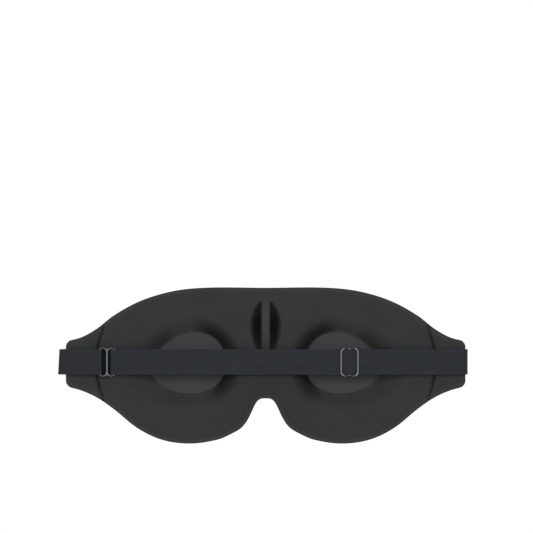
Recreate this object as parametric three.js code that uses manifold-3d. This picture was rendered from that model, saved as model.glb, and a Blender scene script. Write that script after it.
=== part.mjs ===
// Contoured sleep eye mask, in millimetres, +Z up, as worn: the outer face looks along -Y and the
// wearer's face along +Y, so the wearer's left is +X. The origin is the middle of the mask, on the
// plane where the pad meets the face.
import * as THREE from "three";
import { mergeVertices } from "three/addons/utils/BufferGeometryUtils.js";
import Module from "manifold-3d";

// The whole mask
const MASK_WIDTH = 234;
const MASK_HEIGHT = 91.4;
const TIP_CORNER_RADIUS = 3.2;
const EDGE_BLEND = 1.6;

// The laminate: a knitted cover and a lining, pressed together at the rim round a foam core
const FABRIC = 0.6;
const PLY_GAP = 0.3;
const RIM_THICKNESS = 1.6;
const RIM_WIDTH = 2.2;
const FOAM_SETBACK = 3.2;
const PAD_RISE = 1.8;
const PAD_SLOPE = 7;
const FRONT_RISE = 5.4;
const FRONT_SLOPE = 17;

// Eye cups: moulded hollows with a flat, egg-shaped floor
const CUP_CENTRE_X = 45.5;
const CUP_CENTRE_Z = 0.6;
const CUP_HALF_LENGTH = 22.8;
const CUP_HALF_HEIGHT = 18.2;
const CUP_TILT = -0.2;
const CUP_TAPER = 0.16;
const CUP_FOOT = 1.14;
const CUP_MOUTH = 1.44;
const CUP_DEPTH = 10.2;
const CUP_BULGE = 4.6;
const CUP_BULGE_REACH = 2.1;
const CUP_BULGE_FULL = 0.8;
const CUP_PAD = 0.8;
const CUP_PAD_INSET = 2.4;

// Nose channel: two grooves with a rib between them, above the nose notch
const CHANNEL_WIDTH = 18.5;
const CHANNEL_TOP = 38.6;
const CHANNEL_BOTTOM = 2;
const CHANNEL_DEPTH = 5;
const CHANNEL_RIB = 4.6;
const CHANNEL_FULLNESS = 0.6;
const RIB_HEIGHT = 0.75;

// Wings: thin ends that hinge at a curved crease
const CREASE_INSET = 17.6;
const CREASE_BOW = 4;
const CREASE_GAP = 0.3;
const BAND_SETOUT = 1.2;
const WING_RISE = 0.8;
const WING_FRONT_RISE = 0.5;
const WING_FADE = 30;
const SLOT_INSET = 4.6;
const SLOT_WIDTH = 1.8;
const SLOT_SLACK = 0.6;
const PUNCH_LENGTH = 20;

// The elastic band and its layers, stacked outwards from the pad
const BAND_WIDTH = 14.8;
const BAND_CENTRE_Z = 2.4;
const ELASTIC = 0.8;
const PAD_CLEARANCE = 0.4;
const CLEARANCE = 0.25;
const END_GAP = 0.3;
const EDGE_SETBACK = 0.4;
const LAYER_SETBACK = 0.7;
const LEFT_EDGE_BULGE = 3.4;
const RIGHT_EDGE_BULGE = 0.9;
const FRONT_STANDOFF = 0.55;
const TAIL_LENGTH = 27;

// The wire sliders
const WIRE = 1.1;
const SLIDER_LENGTH = 9.8;
const SLIDER_CORNER = 2.6;
const SLIDER_SIDE_GAP = 0.15;
const LEFT_SLIDER_INSET = 24.4;
const RIGHT_SLIDER_INSET = 68;

const HALF_WIDTH = MASK_WIDTH / 2;
const HALF_HEIGHT = MASK_HEIGHT / 2;
const RIM_BACK_Y = -PAD_RISE;
const RIM_FRONT_Y = RIM_BACK_Y - RIM_THICKNESS;
const CREASE_X = HALF_WIDTH - CREASE_INSET;
const SLOT_X = HALF_WIDTH - SLOT_INSET;
const LEFT_SLIDER_X = HALF_WIDTH - LEFT_SLIDER_INSET;
const RIGHT_SLIDER_X = RIGHT_SLIDER_INSET - HALF_WIDTH;
const INNER_LAYER_Y = PAD_CLEARANCE + ELASTIC / 2;
const INNER_LAYER_TOP = PAD_CLEARANCE + ELASTIC;
const LOW_BAR_Y = INNER_LAYER_TOP + CLEARANCE + WIRE / 2;
const BAND_Y = LOW_BAR_Y + WIRE / 2 + CLEARANCE + ELASTIC / 2;
const HIGH_BAR_Y = BAND_Y + ELASTIC / 2 + CLEARANCE + WIRE / 2;
const TIP_LAYER_Y = INNER_LAYER_TOP + CLEARANCE + ELASTIC / 2;
const BAND_END_X = CREASE_X + BAND_SETOUT;
const TIP_LAYER_X = HALF_WIDTH - LAYER_SETBACK;
const LOOP_TAIL_X = SLOT_X - ELASTIC / 2 - LAYER_SETBACK;

const wasm = await Module();
wasm.setup();

// A smooth curve z(x) through points given as shares of half the width and half the height.
function edgeCurve(shares) {
  const points = shares.map(([x, z]) => [x * HALF_WIDTH, z * HALF_HEIGHT]);
  const last = points.length - 1;
  const slopes = points.map((point, i) => {
    const before = points[Math.max(i - 1, 0)];
    const after = points[Math.min(i + 1, last)];
    return i === 0 ? 0 : (after[1] - before[1]) / (after[0] - before[0]);
  });
  return (x) => {
    const next = points.findIndex((point, n) => n === last || (n > 0 && x <= point[0]));
    const i = next - 1;
    const span = points[i + 1][0] - points[i][0];
    const t = (x - points[i][0]) / span;
    const rise = points[i + 1][1] - points[i][1];
    const start = slopes[i] * span;
    const end = slopes[i + 1] * span;
    const bend = 3 * rise - 2 * start - end;
    const twist = start + end - 2 * rise;
    return points[i][1] + t * start + t ** 2 * bend + t ** 3 * twist;
  };
}

const topCurve = edgeCurve([
  [0, 0.998],
  [0.25, 1.003],
  [0.4, 0.981],
  [0.52, 0.922],
  [0.643, 0.812],
  [0.762, 0.641],
  [0.843, 0.479],
  [0.922, 0.365],
  [1, 0.313],
]);
const bottomCurve = edgeCurve([
  [0, -0.416],
  [0.043, -0.455],
  [0.083, -0.655],
  [0.1, -0.729],
  [0.122, -0.794],
  [0.162, -0.858],
  [0.243, -0.947],
  [0.383, -0.996],
  [0.522, -0.945],
  [0.643, -0.796],
  [0.762, -0.551],
  [0.843, -0.409],
  [0.922, -0.317],
  [1, -0.262],
]);

// How far the rounded tip corner pulls the outline in at x.
function cornerDrop(x) {
  const past = Math.max(Math.abs(x) - (HALF_WIDTH - TIP_CORNER_RADIUS), 0);
  const reach = Math.min(past, TIP_CORNER_RADIUS);
  return TIP_CORNER_RADIUS - Math.sqrt(TIP_CORNER_RADIUS ** 2 - reach ** 2);
}

const topEdge = (x) => topCurve(Math.abs(x)) - cornerDrop(x);
const bottomEdge = (x) => bottomCurve(Math.abs(x)) + cornerDrop(x);

// How much longer a step in from a sloping edge is along Z than square to it.
function slopeFactor(curve, x) {
  const reach = 0.5;
  const from = Math.max(Math.abs(x) - reach, 0);
  const to = Math.abs(x) + reach;
  return Math.hypot(1, (curve(to) - curve(from)) / (to - from));
}

const clamp01 = (t) => Math.min(Math.max(t, 0), 1);
const smooth = (t) => clamp01(t) ** 2 * (3 - 2 * clamp01(t));
const dome = (t) => clamp01(t) * (2 - clamp01(t));

// Distance in from the rim band, blended where two edges are equally near.
function padDistance(x, z) {
  const gaps = [
    (topCurve(Math.abs(x)) - z) / slopeFactor(topCurve, x),
    (z - bottomCurve(Math.abs(x))) / slopeFactor(bottomCurve, x),
    HALF_WIDTH - Math.abs(x),
  ];
  const total = gaps.reduce((sum, gap) => sum + Math.exp(-gap / EDGE_BLEND), 0);
  return Math.max(-EDGE_BLEND * Math.log(total) - RIM_WIDTH, 0);
}

// 1 over the middle of the mask, falling to 0 at the wings.
const middleShare = (x) => 1 - smooth((Math.abs(x) - CREASE_X + WING_FADE) / WING_FADE);

// 1 at the edge of an eye cup's flat floor, under 1 inside it.
function cupRadius(x, z) {
  const across = Math.abs(x) - CUP_CENTRE_X;
  const up = z - CUP_CENTRE_Z;
  const along = (across * Math.cos(CUP_TILT) + up * Math.sin(CUP_TILT)) / CUP_HALF_LENGTH;
  const beside = (up * Math.cos(CUP_TILT) - across * Math.sin(CUP_TILT)) / CUP_HALF_HEIGHT;
  return Math.hypot(along, beside / (1 - CUP_TAPER * along));
}

// The nose channel: a lens in outline, shallower over its rib.
function channelDepth(x, z) {
  const length = (z - CHANNEL_BOTTOM) / (CHANNEL_TOP - CHANNEL_BOTTOM);
  const lens = Math.sin(Math.PI * clamp01(length)) ** CHANNEL_FULLNESS;
  const outer = smooth((CHANNEL_WIDTH / 2 - Math.abs(x)) / (CHANNEL_WIDTH / 4));
  const beside = Math.abs(x) / CHANNEL_RIB;
  const rib = 1 - RIB_HEIGHT * smooth(1.4 - 2 * beside);
  return CHANNEL_DEPTH * lens * outer * rib;
}

// The outer face, which bulges over the eye cups.
function frontY(x, z) {
  const share = middleShare(x);
  const rise = WING_FRONT_RISE + (FRONT_RISE - WING_FRONT_RISE) * share;
  const near = (CUP_BULGE_REACH - cupRadius(x, z)) / (CUP_BULGE_REACH - CUP_BULGE_FULL);
  const bulge = CUP_BULGE * smooth(near) * share;
  const face = RIM_FRONT_Y - (rise + bulge) * dome(padDistance(x, z) / FRONT_SLOPE);
  return Math.min(face, backY(x, z) - RIM_THICKNESS);
}

// The wearer's side: a padded ring round each eye cup, at the face plane.
function backY(x, z) {
  const rise = WING_RISE + (PAD_RISE - WING_RISE) * Math.sqrt(middleShare(x));
  const hollow = CUP_DEPTH * smooth((CUP_MOUTH - cupRadius(x, z)) / (CUP_MOUTH - CUP_FOOT));
  return RIM_BACK_Y + rise * dome(padDistance(x, z) / PAD_SLOPE) - hollow - channelDepth(x, z);
}

// Rows run from the bottom edge to the top edge, the second and the last but one along the foam's edge.
function rowZ(x, row, rows) {
  const low = bottomEdge(x);
  const high = topEdge(x);
  if (row === 0) return low;
  if (row === rows) return high;
  const lowInset = low + FOAM_SETBACK * slopeFactor(bottomCurve, x);
  const highInset = high - FOAM_SETBACK * slopeFactor(topCurve, x);
  return lowInset + ((highInset - lowInset) * (row - 1)) / (rows - 2);
}

// The crease bows inboard above and below the band.
function creaseX(share) {
  return CREASE_X - CREASE_BOW * (2 * share - 1) ** 2;
}

// A closed layer between two surfaces, over a grid of points in the mask's plane.
function layer(grid, lowY, highY) {
  const columns = grid.length;
  const rows = grid[0].length;
  const positions = [];
  const faces = [];
  for (const surface of [lowY, highY]) {
    for (const [x, z] of grid.flat()) {
      positions.push(x, surface(x, z), z);
    }
  }
  const low = (i, j) => i * rows + j;
  const high = (i, j) => (columns + i) * rows + j;
  const quad = (a, b, c, d) => faces.push(a, b, c, a, c, d);
  for (let i = 0; i < columns - 1; i += 1) {
    for (let j = 0; j < rows - 1; j += 1) {
      quad(low(i, j), low(i + 1, j), low(i + 1, j + 1), low(i, j + 1));
      quad(high(i, j), high(i, j + 1), high(i + 1, j + 1), high(i + 1, j));
    }
  }
  const right = columns - 1;
  const top = rows - 1;
  for (let i = 0; i < right; i += 1) {
    quad(low(i, 0), high(i, 0), high(i + 1, 0), low(i + 1, 0));
    quad(low(i + 1, top), high(i + 1, top), high(i, top), low(i, top));
  }
  for (let j = 0; j < top; j += 1) {
    quad(low(0, j + 1), high(0, j + 1), high(0, j), low(0, j));
    quad(low(right, j), high(right, j), high(right, j + 1), low(right, j + 1));
  }
  const geometry = new THREE.BufferGeometry();
  geometry.setAttribute("position", new THREE.Float32BufferAttribute(positions, 3));
  geometry.setIndex(faces);
  return geometry;
}

const COVER = [frontY, (x, z) => frontY(x, z) + FABRIC];
const FOAM = [
  (x, z) => frontY(x, z) + FABRIC + PLY_GAP,
  (x, z) => backY(x, z) - FABRIC - PLY_GAP,
];
const LINING = [(x, z) => backY(x, z) - FABRIC, backY];
const CENTRE_COLUMNS = 48;
const CENTRE_ROWS = 18;
const WING_ROWS = 8;
const WING_COLUMNS = [0, 0.25, 0.5, 0.66, 0.8, 0.9, 0.965, 1];
const WING_FOAM_COLUMNS = 4;
const NOSE_CROWDING = 0.55;

// The middle of the mask, from crease to crease, with its columns closest together at the nose.
function centreGrid() {
  const grid = [];
  for (let i = 0; i <= CENTRE_COLUMNS; i += 1) {
    const share = (2 * i) / CENTRE_COLUMNS - 1;
    const column = [];
    for (let j = 0; j <= CENTRE_ROWS; j += 1) {
      const bow = (CREASE_X - creaseX(j / CENTRE_ROWS)) * Math.abs(share) ** 3;
      const out = Math.abs(share) * (NOSE_CROWDING + (1 - NOSE_CROWDING) * Math.abs(share));
      const x = Math.sign(share) * (CREASE_X * out - bow);
      column.push([x, rowZ(x, j, CENTRE_ROWS)]);
    }
    grid.push(column);
  }
  return grid;
}

// The left wing, from the crease to the tip.
function wingGrid() {
  return WING_COLUMNS.map((share) => {
    const column = [];
    for (let j = 0; j <= WING_ROWS; j += 1) {
      const inner = creaseX(j / WING_ROWS) + CREASE_GAP;
      const x = inner + (HALF_WIDTH - inner) * share;
      column.push([x, rowZ(x, j, WING_ROWS)]);
    }
    return column;
  });
}

const insideRim = (grid) => grid.map((column) => column.slice(1, -1));

function mirrored(geometry) {
  const copy = geometry.clone().applyMatrix4(new THREE.Matrix4().makeScale(-1, 1, 1));
  const index = copy.getIndex().array;
  for (let i = 0; i < index.length; i += 3) {
    [index[i], index[i + 1]] = [index[i + 1], index[i]];
  }
  return copy;
}

function solidOf(geometry) {
  const plain = geometry.clone();
  plain.deleteAttribute("normal");
  plain.deleteAttribute("uv");
  const merged = mergeVertices(plain, 1e-4);
  const vertProperties = merged.getAttribute("position").array;
  const triVerts = new Uint32Array(merged.getIndex().array);
  return new wasm.Manifold(new wasm.Mesh({ numProp: 3, vertProperties, triVerts }));
}

function geometryOf(solid) {
  const mesh = solid.getMesh();
  const geometry = new THREE.BufferGeometry();
  geometry.setAttribute("position", new THREE.Float32BufferAttribute(mesh.vertProperties, 3));
  geometry.setIndex(Array.from(mesh.triVerts));
  return geometry;
}

// A wing ply with the slot that the band threads through.
function slotted(geometry) {
  const slot = new THREE.BoxGeometry(SLOT_WIDTH, PUNCH_LENGTH, BAND_WIDTH + 2 * SLOT_SLACK);
  slot.translate(SLOT_X, 0, BAND_CENTRE_Z);
  return geometryOf(solidOf(geometry).subtract(solidOf(slot)));
}

// A flat ribbon of elastic that follows a path in plan, as wide as the band.
function ribbon(path) {
  const before = [];
  const after = [];
  path.forEach((point, i) => {
    const ahead = path[Math.min(i + 1, path.length - 1)];
    const behind = path[Math.max(i - 1, 0)];
    const along = ahead.clone().sub(behind).normalize();
    const aside = new THREE.Vector2(-along.y, along.x).multiplyScalar(ELASTIC / 2);
    before.push(point.clone().add(aside));
    after.unshift(point.clone().sub(aside));
  });
  const shape = new THREE.Shape([...before, ...after]);
  const geometry = new THREE.ExtrudeGeometry(shape, { depth: BAND_WIDTH, bevelEnabled: false });
  return geometry.translate(0, 0, BAND_CENTRE_Z - BAND_WIDTH / 2);
}

const flatRun = (x0, y0, x1, y1) => [new THREE.Vector2(x0, y0), new THREE.Vector2(x1, y1)];

// The band's turn round the wing's edge: back layer, edge, front layer, slot, and up to the inner layer.
function loopPath(bulge) {
  const frontRunY = RIM_FRONT_Y - FRONT_STANDOFF - ELASTIC / 2;
  const middleY = (TIP_LAYER_Y + frontRunY) / 2;
  const turn = ELASTIC;
  const edgeX = HALF_WIDTH - EDGE_SETBACK;
  const reach = bulge + EDGE_SETBACK;
  const halfDepth = TIP_LAYER_Y - middleY;
  const path = new THREE.Path();
  path.moveTo(TIP_LAYER_X, TIP_LAYER_Y);
  path.absellipse(edgeX, middleY, reach, halfDepth, Math.PI / 2, -Math.PI / 2, true);
  path.lineTo(SLOT_X + turn, frontRunY);
  path.absarc(SLOT_X + turn, frontRunY + turn, turn, -Math.PI / 2, -Math.PI, true);
  path.lineTo(SLOT_X, INNER_LAYER_Y - turn);
  path.absarc(SLOT_X - turn, INNER_LAYER_Y - turn, turn, 0, Math.PI / 2, false);
  path.lineTo(LOOP_TAIL_X, INNER_LAYER_Y);
  return path.getPoints(8);
}

// The inner layer on the right, from the slot to its turn round the slider's middle bar.
function innerLayerPath() {
  const turn = WIRE / 2 + CLEARANCE + ELASTIC / 2;
  const path = new THREE.Path();
  path.moveTo(-LOOP_TAIL_X + END_GAP, INNER_LAYER_Y);
  path.lineTo(RIGHT_SLIDER_X, INNER_LAYER_Y);
  path.absarc(RIGHT_SLIDER_X, LOW_BAR_Y, turn, -Math.PI / 2, 0, false);
  return path.getPoints(6);
}

const RING_POINTS = 48;
const WIRE_SIDES = 8;
const BAR_SIDES = 10;

// A slider's outer ring: a rounded rectangle of wire, arched so that the flat band weaves through it.
function sliderRing(endY, middleY) {
  const halfLength = SLIDER_LENGTH / 2;
  const halfHeight = BAND_WIDTH / 2 + SLIDER_SIDE_GAP + WIRE / 2;
  const outline = new THREE.Path();
  const cornerX = halfLength - SLIDER_CORNER;
  const cornerZ = halfHeight - SLIDER_CORNER;
  outline.moveTo(0, -halfHeight);
  outline.lineTo(cornerX, -halfHeight);
  outline.absarc(cornerX, -cornerZ, SLIDER_CORNER, -Math.PI / 2, 0, false);
  outline.absarc(cornerX, cornerZ, SLIDER_CORNER, 0, Math.PI / 2, false);
  outline.absarc(-cornerX, cornerZ, SLIDER_CORNER, Math.PI / 2, Math.PI, false);
  outline.absarc(-cornerX, -cornerZ, SLIDER_CORNER, Math.PI, 1.5 * Math.PI, false);
  outline.closePath();
  const centres = outline.getSpacedPoints(RING_POINTS).slice(0, -1).map((point) => {
    const arch = smooth((Math.abs(point.x) - WIRE / 4) / cornerX);
    return new THREE.Vector3(point.x, middleY + (endY - middleY) * arch, point.y);
  });
  return wireRing(centres);
}

// A closed loop of round wire through the given centres.
function wireRing(centres) {
  const count = centres.length;
  const positions = [];
  const faces = [];
  centres.forEach((centre, i) => {
    const after = centres[(i + 1) % count];
    const before = centres[(i + count - 1) % count];
    const along = after.clone().sub(before).normalize();
    const outward = new THREE.Vector3(0, 1, 0).cross(along).normalize();
    const upward = along.clone().cross(outward);
    for (let k = 0; k < WIRE_SIDES; k += 1) {
      const angle = (2 * Math.PI * k) / WIRE_SIDES;
      const point = centre.clone();
      point.addScaledVector(outward, (Math.cos(angle) * WIRE) / 2);
      point.addScaledVector(upward, (Math.sin(angle) * WIRE) / 2);
      positions.push(...point.toArray());
    }
  });
  for (let i = 0; i < count; i += 1) {
    const here = i * WIRE_SIDES;
    const there = ((i + 1) % count) * WIRE_SIDES;
    for (let k = 0; k < WIRE_SIDES; k += 1) {
      const next = (k + 1) % WIRE_SIDES;
      faces.push(here + k, there + next, there + k, here + k, here + next, there + next);
    }
  }
  const geometry = new THREE.BufferGeometry();
  geometry.setAttribute("position", new THREE.Float32BufferAttribute(positions, 3));
  geometry.setIndex(faces);
  return geometry;
}

function slider(endY, middleY) {
  const barLength = BAND_WIDTH + 2 * SLIDER_SIDE_GAP + WIRE;
  const bar = new THREE.CylinderGeometry(WIRE / 2, WIRE / 2, barLength, BAR_SIDES);
  bar.rotateX(Math.PI / 2).translate(0, middleY, 0);
  return geometryOf(solidOf(sliderRing(endY, middleY)).add(solidOf(bar)));
}

const PAD_POINTS = 32;

// The flat floor pad of an eye cup, set in from the foot of the cup's wall.
function cupFloor() {
  const outline = [];
  for (let i = 0; i < PAD_POINTS; i += 1) {
    const angle = (2 * Math.PI * i) / PAD_POINTS;
    const along = Math.cos(angle) * (CUP_HALF_LENGTH - CUP_PAD_INSET);
    const taper = 1 - CUP_TAPER * Math.cos(angle);
    const beside = Math.sin(angle) * (CUP_HALF_HEIGHT - CUP_PAD_INSET) * taper;
    const x = along * Math.cos(CUP_TILT) - beside * Math.sin(CUP_TILT);
    const z = along * Math.sin(CUP_TILT) + beside * Math.cos(CUP_TILT);
    outline.push(new THREE.Vector2(x, z));
  }
  const shape = new THREE.Shape(outline);
  const floorY = backY(CUP_CENTRE_X, CUP_CENTRE_Z) + PLY_GAP;
  const geometry = new THREE.ExtrudeGeometry(shape, { depth: CUP_PAD, bevelEnabled: false });
  geometry.rotateX(Math.PI / 2);
  return geometry.translate(CUP_CENTRE_X, floorY + CUP_PAD, CUP_CENTRE_Z);
}

const FINISHES = {
  cover: { color: 0x4c4f4e, roughness: 0.9, metalness: 0 },
  lining: { color: 0x393a38, roughness: 0.95, metalness: 0 },
  cup: { color: 0x454644, roughness: 0.95, metalness: 0 },
  foam: { color: 0x2c2d2d, roughness: 1, metalness: 0 },
  elastic: { color: 0x303236, roughness: 0.85, metalness: 0 },
  wire: { color: 0x55585c, roughness: 0.35, metalness: 0.9 },
};

const mask = new THREE.Group();

function addPart(name, geometry, finish, x = 0, z = 0) {
  const material = new THREE.MeshStandardMaterial(FINISHES[finish]);
  const mesh = new THREE.Mesh(geometry, material);
  mesh.name = name;
  mesh.position.set(x, 0, z);
  mask.add(mesh);
}

function addPair(name, geometry, finish) {
  const indexed = geometry.getIndex() ? geometry : mergeVertices(geometry);
  addPart(`left_${name}`, indexed, finish);
  addPart(`right_${name}`, mirrored(indexed), finish);
}

const centre = centreGrid();
addPart("outer_cover", layer(centre, ...COVER), "cover");
addPart("foam_core", layer(insideRim(centre), ...FOAM), "foam");
addPart("inner_lining", layer(centre, ...LINING), "lining");

const wing = wingGrid();
addPair("wing_cover", slotted(layer(wing, ...COVER)), "cover");
addPair("wing_foam", layer(insideRim(wing.slice(0, WING_FOAM_COLUMNS)), ...FOAM), "foam");
addPair("wing_lining", slotted(layer(wing, ...LINING)), "lining");
addPair("cup_floor", mergeVertices(cupFloor()), "cup");

const backRun = flatRun(BAND_END_X, BAND_Y, -BAND_END_X, BAND_Y);
addPart("elastic_band", ribbon(backRun), "elastic");
const ramp = flatRun(BAND_END_X + END_GAP, BAND_Y, TIP_LAYER_X - END_GAP, TIP_LAYER_Y);
addPair("band_end", ribbon(ramp), "elastic");
addPart("left_strap_loop", ribbon(loopPath(LEFT_EDGE_BULGE)), "elastic");
const rightLoop = mergeVertices(ribbon(loopPath(RIGHT_EDGE_BULGE)));
addPart("right_strap_loop", mirrored(rightLoop), "elastic");
const tailStart = LOOP_TAIL_X - END_GAP;
const tailRun = flatRun(tailStart, INNER_LAYER_Y, tailStart - TAIL_LENGTH, INNER_LAYER_Y);
addPart("left_strap_tail", ribbon(tailRun), "elastic");
addPart("right_inner_layer", ribbon(innerLayerPath()), "elastic");

addPart("left_slider", slider(LOW_BAR_Y, HIGH_BAR_Y), "wire", LEFT_SLIDER_X, BAND_CENTRE_Z);
addPart("right_slider", slider(HIGH_BAR_Y, LOW_BAR_Y), "wire", RIGHT_SLIDER_X, BAND_CENTRE_Z);

export default mask;
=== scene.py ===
# Contoured sleep eye mask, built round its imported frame. It is worn with +Z up: the outer face looks along
# -Y, the wearer's side along +Y, and the wearer's left is +X. Shapes are worked out in millimetres and
# turned into metres as each mesh is made.
import math

import bpy
import numpy as np
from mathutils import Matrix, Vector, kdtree


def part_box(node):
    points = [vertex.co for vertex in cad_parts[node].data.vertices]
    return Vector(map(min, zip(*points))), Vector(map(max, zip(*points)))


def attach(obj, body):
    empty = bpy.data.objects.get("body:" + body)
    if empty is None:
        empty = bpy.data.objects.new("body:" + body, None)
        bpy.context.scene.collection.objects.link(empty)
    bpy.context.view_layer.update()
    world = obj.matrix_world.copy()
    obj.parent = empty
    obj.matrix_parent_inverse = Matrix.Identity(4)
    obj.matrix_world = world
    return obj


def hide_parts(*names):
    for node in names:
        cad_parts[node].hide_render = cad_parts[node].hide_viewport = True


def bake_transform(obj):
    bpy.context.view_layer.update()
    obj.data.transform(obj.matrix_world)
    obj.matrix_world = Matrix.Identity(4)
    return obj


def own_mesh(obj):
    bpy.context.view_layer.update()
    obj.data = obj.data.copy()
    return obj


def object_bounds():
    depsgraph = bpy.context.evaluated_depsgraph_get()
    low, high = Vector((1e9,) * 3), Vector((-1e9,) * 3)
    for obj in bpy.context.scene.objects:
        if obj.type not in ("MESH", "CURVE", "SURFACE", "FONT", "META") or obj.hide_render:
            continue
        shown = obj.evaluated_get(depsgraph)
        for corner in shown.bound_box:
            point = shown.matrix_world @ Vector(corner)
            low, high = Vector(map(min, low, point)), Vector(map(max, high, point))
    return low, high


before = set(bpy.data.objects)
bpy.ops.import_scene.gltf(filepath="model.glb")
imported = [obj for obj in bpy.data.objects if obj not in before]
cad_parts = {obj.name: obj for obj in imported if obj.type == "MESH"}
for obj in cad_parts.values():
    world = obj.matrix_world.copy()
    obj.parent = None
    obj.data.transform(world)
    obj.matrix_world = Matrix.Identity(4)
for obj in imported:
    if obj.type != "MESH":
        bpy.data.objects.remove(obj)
cad_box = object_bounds()

# ---------------------------------------------------------------------------------------------------------
# The studio: a white surround, a pale floor well below the mask, and soft lamps on both of its sides.
# A long lens looks straight at the wearer's side of the mask, which lies low in the view.
MM = 0.001
FIELD_WIDTH = 312
LENS = 180
SENSOR = 36
CAMERA_ASIDE = -0.5
CAMERA_UP = 58.2
FLOOR_DROP = 190
FLOOR_SIZE = 2400
FLOOR_GREY = 0.78
FLOOR_GLOW = 0.75
LAMP_SIZE = 900
LAMP_DISTANCE = 1700
LAMP_UP = 450
LAMP_POWER = 14.8
WORLD_LEVEL = 0.42


class Shade:
    """An output in a node tree. Arithmetic on it adds Math nodes, and node() adds any other node."""

    def __init__(self, tree, socket):
        self.tree = tree
        self.socket = socket

    def node(self, kind, settings=None, inputs=None, output=0):
        made = self.tree.nodes.new(kind)
        for name, setting in (settings or {}).items():
            setattr(made, name, setting)
        for name, value in (inputs or {}).items():
            if isinstance(value, Shade):
                self.tree.links.new(value.socket, made.inputs[name])
            else:
                made.inputs[name].default_value = value
        return Shade(self.tree, made.outputs[output])

    def math(self, operation, *values):
        return self.node("ShaderNodeMath", {"operation": operation}, dict(enumerate(values)))

    def __add__(self, other):
        return self.math("ADD", self, other)

    def __sub__(self, other):
        return self.math("SUBTRACT", self, other)

    def __rsub__(self, other):
        return self.math("SUBTRACT", other, self)

    def __mul__(self, other):
        return self.math("MULTIPLY", self, other)

    __radd__ = __add__
    __rmul__ = __mul__


def start_of(tree, kind):
    """The first output of the node of that kind that a new tree comes with."""
    found = next(node for node in tree.nodes if node.bl_idname == kind)
    return Shade(tree, found.outputs[0])


def plug(shade, kind, name):
    """Links a shade to the named input of the tree's node of that kind."""
    target = next(node for node in shade.tree.nodes if node.bl_idname == kind)
    shade.tree.links.new(shade.socket, target.inputs[name])


def seen_white(source):
    """1 for a ray that the camera, a gloss or a clear layer sends out, and 0 for one that carries light."""
    seen = source.node("ShaderNodeLightPath", output="Is Camera Ray")
    rays = seen.socket.node.outputs
    glossy = Shade(source.tree, rays["Is Glossy Ray"])
    through = Shade(source.tree, rays["Is Transmission Ray"])
    return seen.math("MAXIMUM", seen.math("MAXIMUM", seen, glossy), through)


world = bpy.data.worlds.new("studio")
bpy.context.scene.world = world
world.use_nodes = True
backdrop = start_of(world.node_tree, "ShaderNodeBackground")
backdrop.socket.node.inputs["Color"].default_value = (1, 1, 1, 1)
level = WORLD_LEVEL + (1 - WORLD_LEVEL) * seen_white(backdrop)
plug(level, "ShaderNodeBackground", "Strength")

floor_z = cad_box[0].z - FLOOR_DROP * MM
bpy.ops.mesh.primitive_plane_add(size=FLOOR_SIZE * MM, location=(0, 0, floor_z))
floor = bpy.context.object
floor.name = "studio_floor"
floor_material = bpy.data.materials.new("pale_floor")
floor_material.use_nodes = True
floor_surface = start_of(floor_material.node_tree, "ShaderNodeBsdfPrincipled")
floor_inputs = floor_surface.socket.node.inputs
floor_inputs["Base Color"].default_value = (FLOOR_GREY, FLOOR_GREY, FLOOR_GREY, 1)
floor_inputs["Roughness"].default_value = 0.9
floor_inputs["Specular IOR Level"].default_value = 0.1
floor_inputs["Emission Strength"].default_value = FLOOR_GLOW
plug(seen_white(floor_surface), "ShaderNodeBsdfPrincipled", "Emission Color")
floor.data.materials.append(floor_material)


def soft_lamp(name, side):
    """A large square lamp that faces the mask from one side, a little above it."""
    data = bpy.data.lights.new(name, "AREA")
    data.shape = "SQUARE"
    data.size = LAMP_SIZE * MM
    data.energy = LAMP_POWER
    lamp = bpy.data.objects.new(name, data)
    bpy.context.scene.collection.objects.link(lamp)
    lamp.location = (0, side * LAMP_DISTANCE * MM, LAMP_UP * MM)
    tilt = math.atan2(LAMP_UP, LAMP_DISTANCE)
    lamp.rotation_euler = (math.pi / 2 - tilt, 0, math.pi if side > 0 else 0)


soft_lamp("lamp_wearer_side", 1)
soft_lamp("lamp_outer_side", -1)

camera_data = bpy.data.cameras.new("camera")
camera_data.lens = LENS
camera_data.sensor_width = SENSOR
camera = bpy.data.objects.new("camera", camera_data)
bpy.context.scene.collection.objects.link(camera)
camera.location = (CAMERA_ASIDE * MM, FIELD_WIDTH * LENS / SENSOR * MM, CAMERA_UP * MM)
camera.rotation_euler = (math.pi / 2, 0, math.pi)
camera_data.clip_start = 0.05
bpy.context.scene.camera = camera
bpy.context.scene.view_settings.view_transform = "Standard"

# ---------------------------------------------------------------------------------------------------------
# Outer cover: a smooth matte knit that is heat-moulded over the foam. It bulges over both eye cups and is
# pressed flat at the rim, where it is bonded to the lining and die-cut. The wings carry on from it.
HALF_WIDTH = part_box("left_wing_cover")[1].x / MM
HALF_HEIGHT = 45.7
TIP_CORNER_RADIUS = 3.2
FABRIC = 0.6
RIM_BACK_Y = -1.8
RIM_THICKNESS = 1.6
RIM_FRONT_Y = RIM_BACK_Y - RIM_THICKNESS
RIM_WIDTH = 2.2
RIM_INSETS = (0, 0.12, 0.35, 0.7, 1.2, 1.7, 2.2, 2.7, 3.4, 4.2)
PAD_RISE = 1.8
PAD_SLOPE = 7
FRONT_RISE = 5.4
FRONT_SLOPE = 17
CREASE_X = 99.4
CREASE_BOW = 4
WING_RISE = 0.8
WING_FRONT_RISE = 0.5
WING_FADE = 30
CUP_CENTRE_X = 45.5
CUP_CENTRE_Z = 0.6
CUP_HALF_LENGTH = 22.8
CUP_HALF_HEIGHT = 18.2
CUP_TILT = -0.2
CUP_TAPER = 0.16
CUP_BULGE = 4.6
CUP_BULGE_REACH = 2.1
CUP_BULGE_FULL = 0.8
BROAD_SWELL = 0.13
BROAD_WAVES = (11.3, 8.7)
FINE_SWELL = 0.06
FINE_WAVES = (4.3, 5.9, 3.9, 9.1)
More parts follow.
